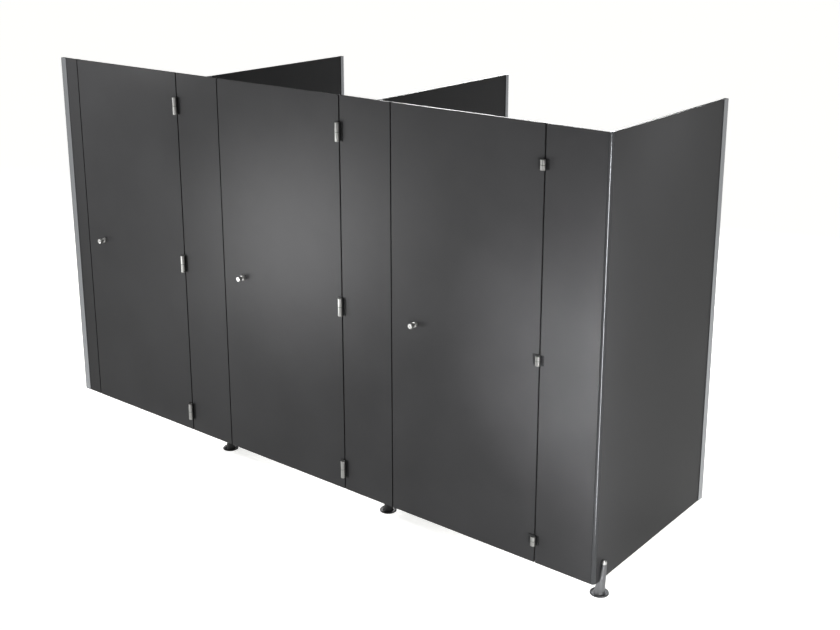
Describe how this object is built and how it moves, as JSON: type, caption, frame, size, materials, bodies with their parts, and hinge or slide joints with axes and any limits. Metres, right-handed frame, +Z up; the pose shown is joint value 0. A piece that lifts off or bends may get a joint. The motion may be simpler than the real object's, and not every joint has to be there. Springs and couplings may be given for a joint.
{
  "type": "shower cubicle",
  "caption": "Wall-fixed row of shower cubicles in dark compact laminate on adjustable feet, with outward-opening hinged doors, pull knobs and turn latches.",
  "frame": {"origin": "on the floor, under the middle of the row's bounding box", "axes": "+X runs along the front from the wall channel to the open corner, +Y runs back to the wall behind, +Z is up"},
  "size_m": [3.4696, 1.042, 2],
  "materials": {
    "compact_laminate": "fine matt anthracite laminate",
    "satin_aluminium": "satin anodised",
    "satin_stainless": "satin stainless steel",
    "black_polyamide": "black moulded polyamide",
    "blackened_screws": "blackened screw steel",
    "rubber_stop": "matt black rubber"
  },
  "bodies": {
    "frame": {"wall_channel_left": "satin_aluminium", "filler_panel": "compact_laminate", "pilaster_1": "compact_laminate", "pilaster_2": "compact_laminate", "pilaster_3": "compact_laminate", "corner_profile": "satin_aluminium", "end_panel": "compact_laminate", "end_wall_channel": "satin_aluminium", "partition_1": "compact_laminate", "partition_2": "compact_laminate", "partition_wall_channel_1": "satin_aluminium", "partition_wall_channel_2": "satin_aluminium", "partition_front_channel_1": "satin_aluminium", "partition_front_channel_2": "satin_aluminium", "door_stop_1": "rubber_stop", "door_stop_2": "rubber_stop", "door_stop_3": "rubber_stop", "latch_keepers": "satin_stainless", "hinge_frame_leaves": "black_polyamide", "hinge_lower_sleeves": "satin_stainless", "hinge_pins": "satin_stainless", "hinge_washers": "black_polyamide", "frame_hinge_screws": "blackened_screws", "channel_screws": "satin_stainless", "foot_base_1": "black_polyamide", "foot_base_2": "black_polyamide", "foot_base_3": "satin_stainless", "foot_post_1": "black_polyamide", "foot_post_2": "black_polyamide", "foot_post_3": "satin_stainless", "foot_cap_1": "black_polyamide", "foot_cap_2": "black_polyamide", "foot_cap_3": "satin_stainless", "foot_stems": "satin_stainless", "foot_clamp_screws": "satin_stainless"},
    "door_1": {"door_panel_1": "compact_laminate", "hinge_door_leaves_1": "black_polyamide", "hinge_upper_sleeves_1": "satin_stainless", "door_hinge_screws_1": "blackened_screws", "pull_knob_1": "satin_stainless"},
    "door_2": {"door_panel_2": "compact_laminate", "hinge_door_leaves_2": "black_polyamide", "hinge_upper_sleeves_2": "satin_stainless", "door_hinge_screws_2": "blackened_screws", "pull_knob_2": "satin_stainless"},
    "door_3": {"door_panel_3": "compact_laminate", "hinge_door_leaves_3": "black_polyamide", "hinge_upper_sleeves_3": "satin_stainless", "door_hinge_screws_3": "blackened_screws", "pull_knob_3": "satin_stainless"},
    "latch_1": {"latch_spindle_1": "satin_stainless", "thumb_turn_1": "satin_stainless", "latch_bar_1": "satin_stainless"},
    "latch_2": {"latch_spindle_2": "satin_stainless", "thumb_turn_2": "satin_stainless", "latch_bar_2": "satin_stainless"},
    "latch_3": {"latch_spindle_3": "satin_stainless", "thumb_turn_3": "satin_stainless", "latch_bar_3": "satin_stainless"}
  },
  "joints": [
    {"name": "door_hinge_1", "type": "hinge", "parent": "frame", "child": "door_1", "pos_m": [-0.79975, -0.4935, 1], "axis": [0, 0, 1], "range_deg": [0, 110]},
    {"name": "door_hinge_2", "type": "hinge", "parent": "frame", "child": "door_2", "pos_m": [0.30025, -0.4935, 1], "axis": [0, 0, 1], "range_deg": [0, 110]},
    {"name": "door_hinge_3", "type": "hinge", "parent": "frame", "child": "door_3", "pos_m": [1.40025, -0.4935, 1], "axis": [0, 0, 1], "range_deg": [0, 110]},
    {"name": "latch_turn_1", "type": "hinge", "parent": "door_1", "child": "latch_1", "pos_m": [-1.45975, -0.4592, 1.015], "axis": [0, 1, 0], "range_deg": [0, 90]},
    {"name": "latch_turn_2", "type": "hinge", "parent": "door_2", "child": "latch_2", "pos_m": [-0.35975, -0.4592, 1.015], "axis": [0, 1, 0], "range_deg": [0, 90]},
    {"name": "latch_turn_3", "type": "hinge", "parent": "door_3", "child": "latch_3", "pos_m": [0.74025, -0.4592, 1.015], "axis": [0, 1, 0], "range_deg": [0, 90]}
  ]
}
